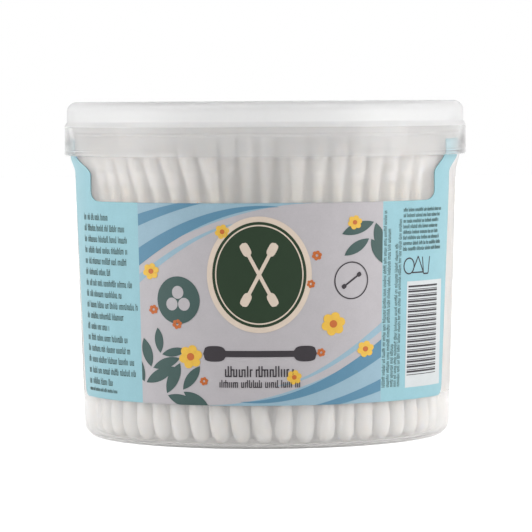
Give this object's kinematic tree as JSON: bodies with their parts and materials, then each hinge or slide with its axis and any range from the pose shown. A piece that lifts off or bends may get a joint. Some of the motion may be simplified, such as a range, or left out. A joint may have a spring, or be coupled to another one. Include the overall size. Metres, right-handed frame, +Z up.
{
  "type": "cotton swab tub",
  "caption": "Round thin-walled tub with a printed front label and a lift-off snap lid, full of upright cotton buds",
  "frame": {"origin": "middle of the base, on the surface it stands on", "axes": "+Z up along the tub's axis, the middle of the label faces -Y"},
  "size_m": [0.102, 0.102, 0.0845],
  "materials": {
    "clear_plastic": "thin frosted polypropylene, smooth with a soft haze",
    "milky_plastic": "milky translucent polypropylene, satin gloss",
    "label_blue": "printed film moulded into the wall, satin",
    "label_white": "printed film, satin",
    "ink_light_blue": "printed ink",
    "ink_mid_blue": "printed ink",
    "ink_teal": "printed ink",
    "ink_yellow": "printed ink",
    "ink_orange": "printed ink",
    "ink_cream": "printed ink",
    "ink_green": "printed ink",
    "ink_black": "printed ink",
    "stick_paper": "tightly rolled white paper",
    "cotton": "wound cotton, soft and matte"
  },
  "bodies": {
    "tub_body": {"tub": "clear_plastic", "label_film": "label_blue", "label_front_panel": "label_white", "print_light_waves": "ink_light_blue", "print_dark_waves": "ink_mid_blue", "print_leaves": "ink_teal", "print_flower_petals": "ink_yellow", "print_flower_hearts": "ink_orange", "print_medallion_border": "ink_cream", "print_medallion": "ink_green", "print_medallion_bud": "ink_cream", "print_seal": "ink_teal", "print_seal_boll": "label_white", "print_ring_badge": "ink_black", "print_title_bud": "ink_black", "print_code_field": "label_white", "print_code_bars": "ink_black", "bud_sticks_1": "stick_paper", "bud_sticks_2": "stick_paper", "bud_sticks_3": "stick_paper", "bud_sticks_4": "stick_paper", "bud_sticks_5": "stick_paper", "bud_tips_1": "cotton", "bud_tips_2": "cotton", "bud_tips_3": "cotton", "bud_tips_4": "cotton", "bud_tips_5": "cotton"},
    "lid_body": {"lid": "milky_plastic"}
  },
  "joints": [
    {"name": "lid_lift", "type": "slide", "parent": "tub_body", "child": "lid_body", "axis": [0, 0, 1], "range_m": [0, 0.09]}
  ]
}
